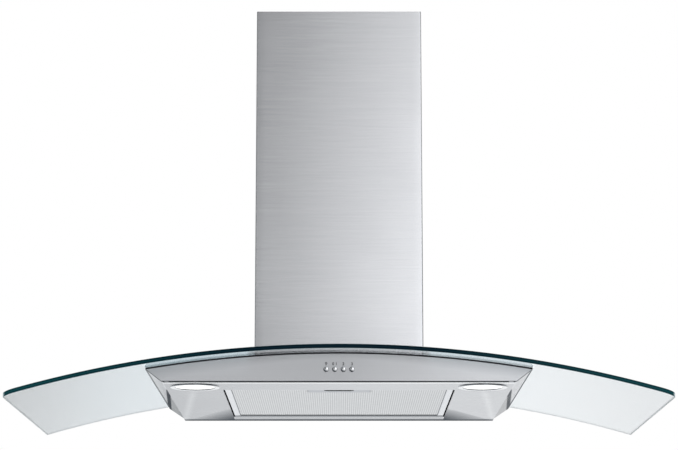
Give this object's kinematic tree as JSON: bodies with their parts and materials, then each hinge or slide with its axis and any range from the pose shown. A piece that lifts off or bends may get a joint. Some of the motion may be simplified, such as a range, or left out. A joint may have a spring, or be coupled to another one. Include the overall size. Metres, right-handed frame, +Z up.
{
  "type": "wall mount range hood",
  "caption": "Wall-mounted cooker hood: arched glass canopy over a shallow brushed steel body with lamps, push buttons and a hinged grease filter, under a telescoping chimney.",
  "frame": {"origin": "centre of the wall screw pattern, on the face of the wall", "axes": "+X along the width of the hood, +Y into the wall, +Z up"},
  "size_m": [0.898, 0.49, 0.6059],
  "materials": {
    "brushed_steel": "fine horizontal brushing",
    "canopy_glass": "clear tempered glass with dark blue-green polished edges",
    "gasket_rubber": "matt black strip",
    "zinc_plated_steel": "zinc plated sheet",
    "black_plastic": "moulded, fine grain",
    "pale_plastic": "moulded, satin",
    "chrome": "polished",
    "spring_steel": "drawn wire",
    "aluminium": "bright expanded and folded sheet",
    "lamp_glass": "frosted, lit",
    "ceramic": "unglazed",
    "motor_paint": "satin grey",
    "lead_sheath": "smooth sheath"
  },
  "bodies": {
    "root": {"body_shell": "brushed_steel", "fascia": "brushed_steel", "bottom_panel": "brushed_steel", "lower_chimney": "brushed_steel", "glass_canopy": "canopy_glass", "glass_gasket": "gasket_rubber", "clamp_frame": "zinc_plated_steel", "fixing_screws": "zinc_plated_steel", "wall_bracket": "zinc_plated_steel", "blower_box": "zinc_plated_steel", "motor_mount": "zinc_plated_steel", "scroll_left": "black_plastic", "scroll_right": "black_plastic", "outlet_collar": "black_plastic", "cable_gland": "black_plastic", "lamp_transformer": "black_plastic", "switch_block": "black_plastic", "connection_box": "pale_plastic", "connection_cover": "pale_plastic", "terminal_block": "pale_plastic", "capacitor": "pale_plastic", "switch_frame": "pale_plastic", "lamp_ring_left": "chrome", "lamp_ring_right": "chrome", "damper_pin": "chrome", "motor_bearings": "chrome", "button_spring_lamp": "spring_steel", "button_spring_1": "spring_steel", "button_spring_2": "spring_steel", "button_spring_3": "spring_steel", "lamp_cup_left": "aluminium", "lamp_cup_right": "aluminium", "lamp_lens_left": "lamp_glass", "lamp_lens_right": "lamp_glass", "lamp_bulb_left": "lamp_glass", "lamp_bulb_right": "lamp_glass", "lamp_socket_left": "ceramic", "lamp_socket_right": "ceramic", "motor": "motor_paint", "lamp_lead_left": "lead_sheath", "lamp_lead_right": "lead_sheath", "motor_lead": "lead_sheath"},
    "upper_cover": {"upper_chimney": "brushed_steel", "chimney_bracket": "zinc_plated_steel", "chimney_screws": "zinc_plated_steel"},
    "rotor": {"impeller": "zinc_plated_steel", "impeller_rings": "zinc_plated_steel", "motor_shaft": "chrome"},
    "flap_front": {"damper_flap_front": "pale_plastic"},
    "flap_rear": {"damper_flap_rear": "pale_plastic"},
    "key_lamp": {"button_lamp": "chrome"},
    "key_1": {"button_speed_1": "chrome"},
    "key_2": {"button_speed_2": "chrome"},
    "key_3": {"button_speed_3": "chrome"},
    "filter": {"filter_frame": "aluminium", "filter_mesh": "aluminium", "filter_core": "aluminium", "filter_handle": "aluminium", "latch_spring": "spring_steel"},
    "latch": {"filter_latch": "black_plastic"}
  },
  "joints": [
    {"name": "upper_cover_slide", "type": "slide", "parent": "root", "child": "upper_cover", "axis": [0, 0, 1], "range_m": [0, 0.4]},
    {"name": "fan_spin", "type": "hinge", "parent": "root", "child": "rotor", "pos_m": [0, -0.1, -0.09], "axis": [1, 0, 0], "continuous": true},
    {"name": "damper_front_hinge", "type": "hinge", "parent": "root", "child": "flap_front", "pos_m": [0, -0.1183, 0.0588], "axis": [-1, 0, 0], "range_deg": [0, 78]},
    {"name": "damper_rear_hinge", "type": "hinge", "parent": "root", "child": "flap_rear", "pos_m": [0, -0.1183, 0.0588], "axis": [1, 0, 0], "range_deg": [0, 78]},
    {"name": "lamp_key_press", "type": "slide", "parent": "root", "child": "key_lamp", "axis": [0, 1, 0], "range_m": [0, 0.003], "stiffness_N_per_m": 400, "springref_m": -0.0015, "deforming": ["button_spring_lamp"]},
    {"name": "speed_1_press", "type": "slide", "parent": "root", "child": "key_1", "axis": [0, 1, 0], "range_m": [0, 0.003], "stiffness_N_per_m": 400, "springref_m": -0.0015, "deforming": ["button_spring_1"]},
    {"name": "speed_2_press", "type": "slide", "parent": "root", "child": "key_2", "axis": [0, 1, 0], "range_m": [0, 0.003], "stiffness_N_per_m": 400, "springref_m": -0.0015, "deforming": ["button_spring_2"]},
    {"name": "speed_3_press", "type": "slide", "parent": "root", "child": "key_3", "axis": [0, 1, 0], "range_m": [0, 0.003], "stiffness_N_per_m": 400, "springref_m": -0.0015, "deforming": ["button_spring_3"]},
    {"name": "filter_hinge", "type": "hinge", "parent": "root", "child": "filter", "pos_m": [0, -0.0445, -0.2498], "axis": [1, 0, 0], "range_deg": [0, 75]},
    {"name": "latch_slide", "type": "slide", "parent": "filter", "child": "latch", "axis": [0, 1, 0], "range_m": [0, 0.005], "stiffness_N_per_m": 300, "springref_m": -0.003, "deforming": ["latch_spring"]}
  ]
}
